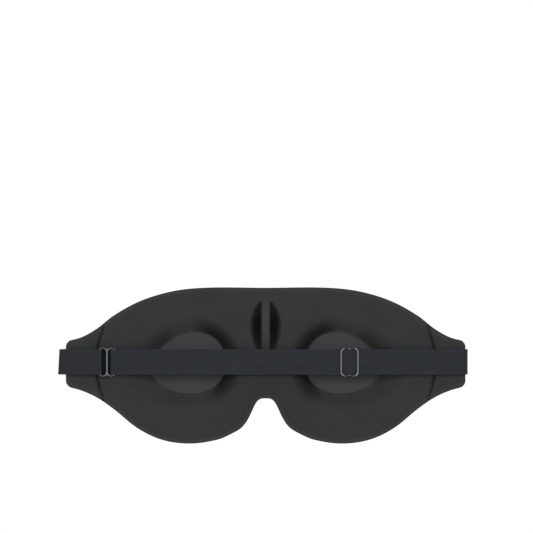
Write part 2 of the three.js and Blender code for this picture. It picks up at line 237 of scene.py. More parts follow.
MIDDLE_ROWS = 84
NOSE_STEP = 0.42
CENTRE_STEP = 0.85
NOSE_REACH = 13
BOW_POWER = 3
CUT_REACH = 0.6
CUT_ROLL = 0.1
SHARP_ANGLE = 40
SLOPE_REACH = 0.5
EDGE_STEP = 0.1
NET_STEP = 0.6
NET_MARGIN = 3
NET_SOFTENING = 2
NET_LAST = 1.001


def edge_curve(shares):
    """A smooth curve z(x) through points given as shares of half the width and half the height."""
    x, z = (np.array(shares) * (HALF_WIDTH, HALF_HEIGHT)).T
    slopes = np.zeros(len(x))
    slopes[1:-1] = (z[2:] - z[:-2]) / (x[2:] - x[:-2])
    slopes[-1] = (z[-1] - z[-2]) / (x[-1] - x[-2])

    def height(at):
        at = np.abs(at)
        i = np.clip(np.searchsorted(x, at) - 1, 0, len(x) - 2)
        span = x[i + 1] - x[i]
        t = (at - x[i]) / span
        rise = z[i + 1] - z[i]
        start = slopes[i] * span
        end = slopes[i + 1] * span
        return z[i] + t * start + t**2 * (3 * rise - 2 * start - end) + t**3 * (start + end - 2 * rise)

    return height


top_curve = edge_curve([
    (0, 0.998), (0.25, 1.003), (0.4, 0.981), (0.52, 0.922), (0.643, 0.812),
    (0.762, 0.641), (0.843, 0.479), (0.922, 0.365), (1, 0.313),
])
bottom_curve = edge_curve([
    (0, -0.416), (0.043, -0.455), (0.083, -0.655), (0.1, -0.729), (0.122, -0.794), (0.162, -0.858),
    (0.243, -0.947), (0.383, -0.996), (0.522, -0.945), (0.643, -0.796), (0.762, -0.551),
    (0.843, -0.409), (0.922, -0.317), (1, -0.262),
])


def smooth(t):
    """0 to 1 with a level start and a level end."""
    t = np.clip(t, 0, 1)
    return t * t * (3 - 2 * t)


def ramp(value, start, end):
    """0 before the start and 1 past the end, which may lie below the start, with a smooth rise between."""
    return smooth((value - start) / (end - start))


def dome(t):
    """0 to 1 with a steep start and a level end, as a padded edge rises."""
    t = np.clip(t, 0, 1)
    return t * (2 - t)


def corner_drop(x):
    """How far the rounded tip corner pulls the outline in."""
    past = np.clip(np.abs(x) - (HALF_WIDTH - TIP_CORNER_RADIUS), 0, TIP_CORNER_RADIUS)
    return TIP_CORNER_RADIUS - np.sqrt(TIP_CORNER_RADIUS**2 - past**2)


def slope_factor(curve, x):
    """How much longer a step in from a sloping edge is along Z than square to it."""
    at = np.abs(x)
    before = np.maximum(at - SLOPE_REACH, 0)
    after = at + SLOPE_REACH
    return np.hypot(1, (curve(after) - curve(before)) / (after - before))


def distance_net():
    """Distances in from the cut edge on a square net over the whole mask, below 0 outside it."""
    run = np.arange(-HALF_WIDTH, HALF_WIDTH + EDGE_STEP, EDGE_STEP)
    low = bottom_curve(run) + corner_drop(run)
    high = top_curve(run) - corner_drop(run)
    tip = np.arange(low[0], high[0], EDGE_STEP)
    edge = [(run, low), (run, high), (tip * 0 - HALF_WIDTH, tip), (tip * 0 + HALF_WIDTH, tip)]
    outline = np.concatenate([np.stack(pair, 1) for pair in edge])
    tree = kdtree.KDTree(len(outline))
    for i, (x, z) in enumerate(outline):
        tree.insert((x, z, 0), i)
    tree.balance()
    net_x = np.arange(-HALF_WIDTH - NET_MARGIN, HALF_WIDTH + NET_MARGIN, NET_STEP)
    net_z = np.arange(-HALF_HEIGHT - NET_MARGIN, HALF_HEIGHT + NET_MARGIN, NET_STEP)
    field = np.array([[tree.find((x, z, 0))[2] for z in net_z] for x in net_x])
    wide = net_x[:, None]
    inside = (net_z > bottom_curve(wide)) & (net_z < top_curve(wide)) & (np.abs(wide) < HALF_WIDTH)
    field = np.where(inside, field, -field)
    for turn in range(NET_SOFTENING):
        field[1:-1] = (field[:-2] + 2 * field[1:-1] + field[2:]) / 4
        field[:, 1:-1] = (field[:, :-2] + 2 * field[:, 1:-1] + field[:, 2:]) / 4
    return net_x[0], net_z[0], field


net_left, net_low, net_field = distance_net()


def edge_distance(x, z):
    """Distance in from the cut edge, read off the net."""
    i = np.clip((np.asarray(x) - net_left) / NET_STEP, 0, net_field.shape[0] - NET_LAST)
    j = np.clip((np.asarray(z) - net_low) / NET_STEP, 0, net_field.shape[1] - NET_LAST)
    i0, j0 = i.astype(int), j.astype(int)
    u, v = i - i0, j - j0
    near = net_field[i0, j0] * (1 - v) + net_field[i0, j0 + 1] * v
    far = net_field[i0 + 1, j0] * (1 - v) + net_field[i0 + 1, j0 + 1] * v
    return np.maximum(near * (1 - u) + far * u, 0)


def pad_distance(x, z):
    return np.maximum(edge_distance(x, z) - RIM_WIDTH, 0)


def middle_share(x):
    """1 over the middle of the mask, falling to 0 at the wings."""
    return ramp(np.abs(x), CREASE_X, CREASE_X - WING_FADE)


def cup_place(x, z):
    """(radius, share along) in an eye cup: the radius is 1 at the edge of its egg-shaped floor."""
    across = np.abs(x) - CUP_CENTRE_X
    up = z - CUP_CENTRE_Z
    along = (across * math.cos(CUP_TILT) + up * math.sin(CUP_TILT)) / CUP_HALF_LENGTH
    beside = (up * math.cos(CUP_TILT) - across * math.sin(CUP_TILT)) / CUP_HALF_HEIGHT
    return np.hypot(along, beside / (1 - CUP_TAPER * along)), along


def softness(x, z):
    """The slight unevenness of a hand-pressed laminate, in millimetres."""
    wave_x, wave_z = BROAD_WAVES
    broad = np.sin(x / wave_x + 0.7) * np.sin(z / wave_z + 1.9)
    first_x, first_z, second_z, second_x = FINE_WAVES
    fine = np.sin(x / first_x - z / first_z + 2.1) * np.sin(z / second_z + x / second_x)
    return BROAD_SWELL * broad + FINE_SWELL * fine


def front_y(x, z):
    """The outer face, which bulges over the eye cups."""
    share = middle_share(x)
    rise = WING_FRONT_RISE + (FRONT_RISE - WING_FRONT_RISE) * share
    radius, along = cup_place(x, z)
    bulge = CUP_BULGE * ramp(radius, CUP_BULGE_REACH, CUP_BULGE_FULL) * share
    crown = dome(pad_distance(x, z) / FRONT_SLOPE)
    return RIM_FRONT_Y - (rise + bulge + softness(x, z)) * crown


def sloped_rows(x):
    """Z of every point of a grid from its X, row by row."""
    low = bottom_curve(x) + corner_drop(x)
    high = top_curve(x) - corner_drop(x)
    insets = np.array(RIM_INSETS)
    count = len(insets)
    z = np.empty_like(x)
    z[:, :count] = low[:, :count] + insets * slope_factor(bottom_curve, x[:, :count])
    z[:, -count:] = high[:, -count:] - insets[::-1] * slope_factor(top_curve, x[:, -count:])
    steps = x.shape[1] - 2 * count
    share = (np.arange(steps) + 1) / (steps + 1)
    lower = low + insets[-1] * slope_factor(bottom_curve, x)
    upper = high - insets[-1] * slope_factor(top_curve, x)
    middle = slice(count, count + steps)
    z[:, middle] = lower[:, middle] + (upper - lower)[:, middle] * share
    return z


crease_rows = sloped_rows(np.full((1, MIDDLE_ROWS + 2 * len(RIM_INSETS)), CREASE_X))[0]
row_shares = (crease_rows - crease_rows[0]) / (crease_rows[-1] - crease_rows[0])
crease_inset = CREASE_BOW * (2 * row_shares - 1) ** 2


def centre_grid():
    """The middle of the mask from crease to crease, finest at the nose."""
    near = np.arange(0, NOSE_REACH, NOSE_STEP)
    far = np.linspace(NOSE_REACH, CREASE_X, int((CREASE_X - NOSE_REACH) / CENTRE_STEP))
    half = np.concatenate([near, far])
    places = np.concatenate([-half[:0:-1], half])
    share = places / CREASE_X
    bow = np.sign(share) * np.abs(share) ** BOW_POWER
    x = places[:, None] - bow[:, None] * crease_inset[None, :]
    return x, sloped_rows(x)


def object_from(name, points, faces, attributes=None, sharp=SHARP_ANGLE):
    """A mesh object from points in millimetres, smooth-shaded but for edges sharper than the angle."""
    mesh = bpy.data.meshes.new(name)
    mesh.from_pydata((np.asarray(points) * MM).tolist(), [], faces)
    for key, values in (attributes or {}).items():
        values = np.asarray(values, dtype=np.float32)
        kind = "FLOAT_VECTOR" if values.ndim == 2 else "FLOAT"
        field = "vector" if values.ndim == 2 else "value"
        mesh.attributes.new(key, kind, "POINT").data.foreach_set(field, values.ravel())
    mesh.polygons.foreach_set("use_smooth", [True] * len(mesh.polygons))
    mesh.set_sharp_from_angle(angle=math.radians(sharp))
    mesh.validate()
    made = bpy.data.objects.new(name, mesh)
    bpy.context.scene.collection.objects.link(made)
    return made


def ply(name, grid, low_y, high_y, edge_roll=CUT_ROLL, painted_shading_at=None):
    """A closed ply between two surfaces over a grid, its cut edge rolled slightly outwards. Its last
    argument, if given, gives the painted shade and painted light at each place, kept in its hollow
    attribute."""
    x, z = grid
    columns, rows = x.shape
    low = low_y(x, z)
    high = high_y(x, z)
    index = np.arange(columns * rows).reshape(columns, rows)
    loop = np.concatenate([index[:, 0], index[-1, 1:], index[-2::-1, -1], index[0, -2:0:-1]])
    flat_x, flat_z = x.ravel()[loop], z.ravel()[loop]
    along_x = np.roll(flat_x, -1) - np.roll(flat_x, 1)
    along_z = np.roll(flat_z, -1) - np.roll(flat_z, 1)
    length = np.hypot(along_x, along_z)
    roll = np.where(edge_distance(flat_x, flat_z) < CUT_REACH, edge_roll, 0)
    roll_x = flat_x + roll * along_z / length
    roll_z = flat_z - roll * along_x / length
    mid_y = (low.ravel()[loop] + high.ravel()[loop]) / 2
    points = np.concatenate([
        np.stack([x.ravel(), low.ravel(), z.ravel()], 1),
        np.stack([x.ravel(), high.ravel(), z.ravel()], 1),
        np.stack([roll_x, mid_y, roll_z], 1),
    ])
    a, b = index[:-1, :-1].ravel(), index[1:, :-1].ravel()
    c, d = index[1:, 1:].ravel(), index[:-1, 1:].ravel()
    top = columns * rows
    front = np.stack([a, b, c, d], 1)
    back = np.stack([a, d, c, b], 1) + top
    ring = 2 * top + np.arange(len(loop))
    after = np.roll(loop, -1)
    ring_after = np.roll(ring, -1)
    lower_wall = np.stack([loop, ring, ring_after, after], 1)
    upper_wall = np.stack([ring, loop + top, after + top, ring_after], 1)
    faces = np.concatenate([front, back, lower_wall, upper_wall]).tolist()
    inside = edge_distance(points[:, 0], points[:, 2])
    inside[ring] = 0
    attributes = {"cloth": points[:, [0, 2, 1]], "inset": inside}
    if painted_shading_at:
        attributes["hollow"] = painted_shading_at(points[:, 0], points[:, 2])
    return object_from(name, points, faces, attributes)


def new_material(name, roughness, specular):
    """A Principled material, and its place attribute in millimetres along the cloth."""
    material = bpy.data.materials.new(name)
    material.use_nodes = True
    surface = start_of(material.node_tree, "ShaderNodeBsdfPrincipled")
    surface.socket.node.inputs["Roughness"].default_value = roughness
    surface.socket.node.inputs["Specular IOR Level"].default_value = specular
    place = surface.node("ShaderNodeAttribute", {"attribute_name": "cloth"}, output="Vector")
    return material, place


def attribute(place, name):
    return place.node("ShaderNodeAttribute", {"attribute_name": name}, output="Fac")


def noise(place, scale, detail):
    inputs = {"Vector": place, "Scale": scale, "Detail": detail}
    return place.node("ShaderNodeTexNoise", {"noise_dimensions": "3D"}, inputs)


def between(value, low, high):
    """0 below low, 1 above high and a smooth rise between them."""
    inputs = {"Value": value, "From Min": low, "From Max": high}
    return value.node("ShaderNodeMapRange", {"interpolation_type": "SMOOTHSTEP"}, inputs)


def parts_of(place):
    """The first two measures of a place on the cloth, as two shades."""
    first = place.node("ShaderNodeSeparateXYZ", inputs={0: place})
    return first, Shade(place.tree, first.socket.node.outputs["Y"])


KNIT_WALE = 0.42
KNIT_COURSE = 0.34
STITCH_LEAN = 0.9
STITCH_MEAN = 0.6


def knit(place):
    """Height of a jersey knit: columns of small V stitches."""
    along, up = parts_of(place)
    across = along * (1 / KNIT_WALE)
    down = up * (1 / KNIT_COURSE)
    fold = across.math("ABSOLUTE", across.math("FRACT", across) - 0.5)
    turn = across.math("ABSOLUTE", across.math("FRACT", down + fold * STITCH_LEAN) - 0.5)
    return 1 - turn * turn * 4 - fold * 0.5


def tinted(colour, gain):
    """A plain colour times a varying gain."""
    grey = gain.node("ShaderNodeCombineColor", inputs={0: gain, 1: gain, 2: gain})
    settings = {"data_type": "RGBA", "blend_type": "MULTIPLY"}
    inputs = {"Factor": 1.0, "A": (*colour, 1), "B": grey}
    return gain.node("ShaderNodeMix", settings, inputs, output="Result")


def bumped(height, strength, distance):
    """A bump from a height, with its full step given in millimetres."""
    inputs = {"Height": height, "Strength": strength, "Distance": distance * MM}
    return height.node("ShaderNodeBump", inputs=inputs)


CLOTH_SPECULAR = 0.12
FIBRE_SCALE = 2.6
FIBRE_CONTRAST = 0.22
FIBRE_RELIEF = 0.8
PATCH_SCALE = 0.06
STITCH_CONTRAST = 0.16
CUT_WIDTH = (0.05, 0.5)
CUT_SHADE = 0.45
DARKEST_GAIN = 0.04
KNIT_BUMP = 0.35
KNIT_STEP = 0.06


def cloth_material(name, colour, pressed_gain, painted_shade_gain, roughness, mottle):
    """A knitted face: mottled, lighter where the rim is pressed, dark at the cut, with painted shade and
    painted light.
    """
    material, place = new_material(name, roughness, CLOTH_SPECULAR)
    stitches = knit(place)
    fibre = noise(place, FIBRE_SCALE, 4)
    patches = noise(place, PATCH_SCALE, 2)
    inset = attribute(place, "inset")
    pressed = 1 - between(inset, RIM_WIDTH * 0.75, RIM_WIDTH * 1.25)
    cut = 1 - between(inset, *CUT_WIDTH)
    # The hollow attribute is painted shade where it is above 0 and painted light where it is below 0.
    hollow = attribute(place, "hollow")
    gain = 1 + (patches - 0.5) * mottle
    gain = gain + (fibre - 0.5) * FIBRE_CONTRAST + (stitches - STITCH_MEAN) * STITCH_CONTRAST
    gain = gain * (1 + pressed * (pressed_gain - 1)) * (1 - cut * CUT_SHADE)
    gain = gain * (1 - hollow * (1 - painted_shade_gain))
    gain = gain.math("MAXIMUM", gain, DARKEST_GAIN)
    plug(tinted(colour, gain), "ShaderNodeBsdfPrincipled", "Base Color")
    relief = stitches + fibre * FIBRE_RELIEF
    plug(bumped(relief, KNIT_BUMP, KNIT_STEP), "ShaderNodeBsdfPrincipled", "Normal")
    return material


COVER_COLOUR = (0.078, 0.084, 0.082)
cover_look = {"pressed_gain": 1.12, "painted_shade_gain": 1.0, "roughness": 0.85, "mottle": 0.10}
cover_material = cloth_material("matte_cover_knit", COVER_COLOUR, **cover_look)


def front_inside(x, z):
    """The cover's face against the foam."""
    return front_y(x, z) + FABRIC


AREA_STEPS = 400


def cut_area(inner, outer):
    """The flat area of the mask's outline between two distances from its middle, on one side."""
    run = np.linspace(inner, outer, AREA_STEPS)
    heights = top_curve(run) - bottom_curve(run) - 2 * corner_drop(run)
    return heights.mean() * (outer - inner)


centre = centre_grid()
outer_cover = ply("moulded_cover", centre, front_y, front_inside)
outer_cover.data.materials.append(cover_material)
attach(outer_cover, "mask_body")
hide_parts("outer_cover")
CENTRE_AREA = 2 * cut_area(0, CREASE_X) * MM**2

# ---------------------------------------------------------------------------------------------------------
# Inner lining: the softer knit against the face. It rises to a padded ring round each deep eye cup, dips in
# two grooves beside a rib over the nose, and folds in along the arc where each wing hinges.
CUP_DEPTH = 10.2
CUP_FOOT = 1.03
CUP_MOUTH = 1.6
CUP_MOUTH_LEAN = 0.17
LEAN_LIMIT = 1.2
CHANNEL_DEPTH = 5
CHANNEL_WIDTH = 19.5
CHANNEL_TOP = 39.4
CHANNEL_BOTTOM = 2
CHANNEL_RIB = 4.2
CHANNEL_FULLNESS = 0.55
RIB_EDGE = 1.3
CHANNEL_LEAN = 1.25
CHANNEL_WALL = 0.42
CREASE_DEPTH = 1.3
CREASE_HALF_WIDTH = 0.75
LINING_UNEVENNESS = 0.7
LINING_SHIFT = 40


def bell(t):
    """1 at 0, fading evenly on both sides."""
    return np.exp(-(t**2))


def crease_distance(x, z):
    """Distance outboard of the crease, whose arc bows inboard above and below the band."""
    low = bottom_curve(np.full_like(x, CREASE_X))
    high = top_curve(np.full_like(x, CREASE_X))
    share = np.clip((z - low) / (high - low), 0, 1)
    return np.abs(x) - CREASE_X + CREASE_BOW * (2 * share - 1) ** 2


def channel_share(x, z):
    """How deep the nose grooves are at a place, as a share of their full depth."""
    length = np.clip((z - CHANNEL_BOTTOM) / (CHANNEL_TOP - CHANNEL_BOTTOM), 0, 1)
    lens = np.sin(math.pi * length**CHANNEL_LEAN) ** CHANNEL_FULLNESS
    reach = CHANNEL_WIDTH / 2 * lens
    outer = smooth((reach - np.abs(x)) / (CHANNEL_WALL * reach + 0.01))
    rib = smooth((np.abs(x) - CHANNEL_RIB / 2) / RIB_EDGE)
    return lens * outer * rib


def back_y(x, z):
    """The wearer's side: a padded ring round each eye cup, at the face plane."""
    rise = WING_RISE + (PAD_RISE - WING_RISE) * middle_share(x) ** 0.5
    radius, along = cup_place(x, z)
    mouth = CUP_MOUTH + CUP_MOUTH_LEAN * np.clip(along, -LEAN_LIMIT, LEAN_LIMIT)
    hollow = CUP_DEPTH * np.clip((mouth - radius) / (mouth - CUP_FOOT), 0, 1) ** 2
    crown = dome(pad_distance(x, z) / PAD_SLOPE)
    fold = CREASE_DEPTH * bell(crease_distance(x, z) / CREASE_HALF_WIDTH) * crown
    soft = softness(z + LINING_SHIFT, x) * crown * LINING_UNEVENNESS
    return RIM_BACK_Y + rise * crown - hollow - CHANNEL_DEPTH * channel_share(x, z) - fold - soft


def back_inside(x, z):
    """The lining's face against the foam."""
    return back_y(x, z) - FABRIC


# Painted shade and painted light in the lining's colour, standing in for how deep and how steep each place
# is.
WALL_FOOT = 0.96
WALL_FADE = 0.3
WALL_SHADE = 1.2
WALL_LIGHT = -0.9
NOSE_SIDE = (0.25, 0.75)
UPPER_SHADE = 0.72
UPPER_CORNER_START = (0.1, 0.5)
UPPER_CORNER_END = (0.98, 0.68)
UPPER_LIGHT = -0.8
UPPER_MIDDLE_HEIGHT = (5, 13)
UPPER_MIDDLE_SPREAD = (0.5, 0.1)
RIB_LIGHT = -0.6
RIB_SOFT_EDGE = 0.3
RIB_START_HEIGHT = (12, 24)
RIB_END_RUN = 4
CREASE_SHADE = 1.25
CREASE_SHADE_WIDTH = 0.9
BRIDGE_SHADE = 0.3
BRIDGE_REACH = 17
BRIDGE_HEIGHT = (14, -2)
CHANNEL_SHADE = 2.05


def painted_shading(x, z):
    """How much shade is painted into the lining's colour: above 0 in the steep nose side of an eye cup, in
    the nose grooves, in the creases and between the cups, and below 0, as painted light, on the nose rib and
    on the parts of a cup's wall that open wide to the light."""
    radius, along = cup_place(x, z)
    foot = bell(np.maximum(radius - 1, 0) / WALL_FADE) * ramp(radius, WALL_FOOT, 1)
    nose_side = ramp(-along, *NOSE_SIDE)
    above = z - CUP_CENTRE_Z
    upper_corner = ramp(along, *UPPER_CORNER_START) * ramp(along, *UPPER_CORNER_END) * (above > 0)
    upper_middle = ramp(above, *UPPER_MIDDLE_HEIGHT) * ramp(np.abs(along), *UPPER_MIDDLE_SPREAD)
    wall = WALL_SHADE * nose_side + WALL_LIGHT * (1 - nose_side)
    cups = foot * (wall + UPPER_SHADE * upper_corner + UPPER_LIGHT * upper_middle)
    crease = CREASE_SHADE * bell(crease_distance(x, z) / CREASE_SHADE_WIDTH)
    bridge = BRIDGE_SHADE * bell(x / BRIDGE_REACH) * ramp(z, *BRIDGE_HEIGHT)
    rib_edge = CHANNEL_RIB / 2
    rib = RIB_LIGHT * ramp(np.abs(x), rib_edge + RIB_SOFT_EDGE, rib_edge - RIB_SOFT_EDGE)
    rib = rib * ramp(z, *RIB_START_HEIGHT) * ramp(z, CHANNEL_TOP, CHANNEL_TOP - RIB_END_RUN)
    return cups + CHANNEL_SHADE * channel_share(x, z) + crease + bridge + rib


LINING_COLOUR = (0.0375, 0.0398, 0.0382)
lining_look = {"pressed_gain": 1.18, "painted_shade_gain": 0.55, "roughness": 0.95, "mottle": 0.22}
lining_material = cloth_material("brushed_lining_knit", LINING_COLOUR, **lining_look)
inner_lining = ply("moulded_lining", centre, back_inside, back_y, painted_shading_at=painted_shading)
inner_lining.data.materials.append(lining_material)
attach(inner_lining, "mask_body")
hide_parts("inner_lining")

# ---------------------------------------------------------------------------------------------------------
# Foam core: one sheet of slow memory foam, bonded between cover and lining and pressed almost to nothing at
# the rim. It only shows as a thin line in the cut edge.
FOAM_CLEARANCE = 0.02
FOAM_ROLL = -0.05
FOAM_COLOUR = (0.03, 0.031, 0.031)
CELL_SCALE = 2.2
CELL_BUMP = 0.6
CELL_STEP = 0.2


def foam_front(x, z):
    return front_inside(x, z) + FOAM_CLEARANCE


def foam_back(x, z):
    return back_inside(x, z) - FOAM_CLEARANCE


def foam_material():
    """Slow foam, with a skin of small round cells."""
    material, place = new_material("memory_foam", 1.0, 0.1)
    cells = place.node("ShaderNodeTexVoronoi", {"feature": "F1"}, {"Vector": place, "Scale": CELL_SCALE})
    plug(tinted(FOAM_COLOUR, 0.6 + cells), "ShaderNodeBsdfPrincipled", "Base Color")
    plug(bumped(cells, CELL_BUMP, CELL_STEP), "ShaderNodeBsdfPrincipled", "Normal")
    return material


foam = foam_material()
foam_core = ply("foam_sheet", centre, foam_front, foam_back, edge_roll=FOAM_ROLL)
foam_core.data.materials.append(foam)
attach(foam_core, "mask_body")
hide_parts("foam_core")

# ---------------------------------------------------------------------------------------------------------
# Cup floors: a flat egg-shaped disc of smooth knit, bonded in the bottom of each eye cup, with a crisp
# edge. It lies just above the lining and leaves a thin dark line round itself.
DISC_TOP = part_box("left_cup_floor")[1].y / MM
DISC_THICKNESS = 0.85
DISC_CROWN = 0.35
DISC_SHARE = 0.985
DISC_RINGS = 22
DISC_SPOKES = 144
DISC_BEVEL = 0.3
DISC_CENTRE = 0.04
DISC_RIM = 0.985


def cup_floor(name, side):
    """A thin disc with a rounded edge, from rings of points that shrink to its middle."""
    turn = np.linspace(0, 2 * math.pi, DISC_SPOKES, endpoint=False)
    crown = np.linspace(DISC_CENTRE, DISC_RIM, DISC_RINGS)
    profile = [(share, DISC_CROWN * (1 - share**2)) for share in crown]
    profile += [(0.995, -DISC_BEVEL / 3), (1, -DISC_BEVEL), (1, -DISC_THICKNESS + 0.1)]
    profile += [(0.99, -DISC_THICKNESS), (DISC_CENTRE, -DISC_THICKNESS)]
    points = []
    for share, lift in profile:
        along = np.cos(turn) * CUP_HALF_LENGTH * DISC_SHARE * share
        beside = np.sin(turn) * CUP_HALF_HEIGHT * DISC_SHARE * share * (1 - CUP_TAPER * np.cos(turn))
        x = CUP_CENTRE_X + along * math.cos(CUP_TILT) - beside * math.sin(CUP_TILT)
        z = CUP_CENTRE_Z + along * math.sin(CUP_TILT) + beside * math.cos(CUP_TILT)
        points.append(np.stack([side * x, np.full_like(x, DISC_TOP + lift), z], 1))
    points = np.concatenate(points)
    faces = []
    for ring in range(len(profile) - 1):
        for i in range(DISC_SPOKES):
            j = (i + 1) % DISC_SPOKES
            corners = [ring * DISC_SPOKES + i, ring * DISC_SPOKES + j]
            corners += [(ring + 1) * DISC_SPOKES + j, (ring + 1) * DISC_SPOKES + i]
            faces.append(corners[::side])
    last = (len(profile) - 1) * DISC_SPOKES
    faces.append(list(range(DISC_SPOKES))[::-side])
    faces.append([last + i for i in range(DISC_SPOKES)][::side])
    clear_of_rim = np.full(len(points), 2 * RIM_WIDTH)
    return object_from(name, points, faces, {"cloth": points[:, [0, 2, 1]], "inset": clear_of_rim})


DISC_COLOUR = (0.0615, 0.0645, 0.0660)
disc_look = {"pressed_gain": 1.0, "painted_shade_gain": 1.0, "roughness": 0.9, "mottle": 0.08}
disc_knit = cloth_material("smooth_cup_knit", DISC_COLOUR, **disc_look)
for side, hand in ((1, "left"), (-1, "right")):
    disc = cup_floor(f"{hand}_eye_disc", side)
    disc.data.materials.append(disc_knit)
    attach(disc, "mask_body")
    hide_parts(f"{hand}_cup_floor")

# ---------------------------------------------------------------------------------------------------------
# Wings: the thin ends of the same laminate, from the crease where each wing hinges out to its tip. Each is
# punched with a slot near its tip, where the band threads through.
CREASE_GAP = 0.02
CREASE_STEPS = (0, 0.2, 0.45, 0.75, 1.15, 1.7, 2.4)
WING_MIDDLE_COLUMNS = 14
SLOT_X = 112.4
SLOT_WIDTH = 1.5
SLOT_SLACK = 0.5
SLOT_CORNER = 0.55
SLOT_CORNER_STEPS = 4
PUNCH_FROM_Y = -12
PUNCH_TO_Y = 6
band_low, band_high = (corner.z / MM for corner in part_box("elastic_band"))
BAND_CENTRE_Z = (band_low + band_high) / 2
BAND_WIDTH = band_high - band_low
WING_ROOT_X = CREASE_X - CREASE_BOW
WING_FLAT = ((HALF_WIDTH - WING_ROOT_X) * MM, (top_curve(WING_ROOT_X) - bottom_curve(WING_ROOT_X)) * MM)
WING_AREA = cut_area(CREASE_X - CREASE_BOW / 3, HALF_WIDTH) * MM**2


def wing_grid(side):
    """The wing from the crease to the tip, with its outer columns along the pressed rim."""
    inner = CREASE_X - crease_inset + CREASE_GAP
    near = [inner + step for step in CREASE_STEPS]
    far = [np.full_like(inner, HALF_WIDTH - inset) for inset in RIM_INSETS[::-1]]
    shares = np.linspace(0, 1, WING_MIDDLE_COLUMNS + 2)[1:-1]
    middle = [near[-1] + (far[0] - near[-1]) * share for share in shares]
    x = side * np.array(near + middle + far)
    if side < 0:
        x = x[::-1]
    return x, sloped_rows(x)


def slot_cutter(side):
    """The punch: a block with rounded corners."""
    half = SLOT_WIDTH / 2
    tall = BAND_WIDTH / 2 + SLOT_SLACK
    outline = []
    for corner in range(4):
        middle_x = (half - SLOT_CORNER) * (1 if corner in (0, 3) else -1)
        middle_z = (tall - SLOT_CORNER) * (1 if corner < 2 else -1)
        for step in range(SLOT_CORNER_STEPS + 1):
            angle = (corner + step / SLOT_CORNER_STEPS) * math.pi / 2
            x = middle_x + SLOT_CORNER * math.cos(angle)
            z = middle_z + SLOT_CORNER * math.sin(angle)
            outline.append((side * SLOT_X + x, BAND_CENTRE_Z + z))
    count = len(outline)
    points = [(x, y, z) for y in (PUNCH_FROM_Y, PUNCH_TO_Y) for x, z in outline]
    faces = [[i, (i + 1) % count, count + (i + 1) % count, count + i] for i in range(count)]
    faces += [list(range(count))[::-1], list(range(count, 2 * count))]
    return object_from("slot_punch", points, faces)


def punched(piece, cutter):
    """Cuts the slot through a ply and keeps the result as its mesh."""
    cut = piece.modifiers.new("slot", "BOOLEAN")
    cut.operation = "DIFFERENCE"
    cut.object = cutter
    cut.solver = "EXACT"
    bpy.context.view_layer.update()
    finished = piece.evaluated_get(bpy.context.evaluated_depsgraph_get())
    result = bpy.data.meshes.new_from_object(finished)
    piece.modifiers.clear()
    piece.data = result
    piece.data.set_sharp_from_angle(angle=math.radians(SHARP_ANGLE))


for side, hand in ((1, "left"), (-1, "right")):
    grid = wing_grid(side)
    cutter = slot_cutter(side)
    plies = (
        ("cover", front_y, front_inside, cover_material, CUT_ROLL, None),
        ("foam", foam_front, foam_back, foam, FOAM_ROLL, None),
        ("lining", back_inside, back_y, lining_material, CUT_ROLL, painted_shading),
    )
    for kind, low_y, high_y, material, roll, painted_shading_at in plies:
        wing = ply(f"{hand}_{kind}_wing", grid, low_y, high_y, roll, painted_shading_at)
        punched(wing, cutter)
        wing.data.materials.clear()
        wing.data.materials.append(material)
        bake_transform(wing)
        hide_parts(f"{hand}_wing_{kind}")
        kind == "foam"
    bpy.data.objects.remove(cutter)

# ---------------------------------------------------------------------------------------------------------
# Elastic band: a ribbed woven elastic, about 15 mm wide, with firm edges. It runs straight across the
# wearer's side. At the left slider it dives under the middle bar.
ELASTIC = 0.8
BAND_Y = sum(corner.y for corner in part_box("elastic_band")) / 2 / MM
BAND_END_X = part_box("elastic_band")[1].x / MM
LEFT_SLIDER_X = sum(corner.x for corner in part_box("left_slider")) / 2 / MM
RIGHT_SLIDER_X = sum(corner.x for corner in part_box("right_slider")) / 2 / MM
SELVEDGE = 0.9
SELVEDGE_ROLL = 0.06
ROLL_START = (0, 0.4)
ROLL_END = (1.6, 0.8)
EDGE_PLACES = (0, 0.15, 0.4, 0.9, 1.5)
EDGE_ROUNDING = 0.35
FLAT_FROM = 2.5
WAVINESS = 0.05
WAVE_LENGTHS = (5.3, 2.1)
WAVE_SHARE = 0.6
SLANT_RUN = 3
BAND_STEP = 1.5
SHORT_STEP = 0.5
DIVE_STEP = 0.12
DIVE_DEPTH = 1.45
DIVE_EDGE = 1.1
DIVE_OUTER = 3.6
DIVE_INNER = 2.3
DIVE_SHADE_EDGE = 0.8
DIVE_SHADE_FROM_Y = 0.6
RUN_REACH = 4


def band_section():
    """The band's cross-section: (offset from its middle plane, Z, distance in from its edge)."""
    half = BAND_WIDTH / 2
    across = np.concatenate([EDGE_PLACES, np.linspace(FLAT_FROM, half, 6)])
    rise = ELASTIC / 2 * np.sqrt(1 - (1 - np.clip(across / EDGE_ROUNDING, 0, 1)) ** 2)
    rise += SELVEDGE_ROLL * ramp(across, *ROLL_START) * ramp(across, *ROLL_END)
    up = [(lift, -half + inset, inset) for lift, inset in zip(rise, across)]
    down = [(lift, half - inset, inset) for lift, inset in zip(rise[-2::-1], across[-2::-1])]
    front = up + down
    back = [(-lift, z, inset) for lift, z, inset in front[-2:0:-1]]
    return front + back


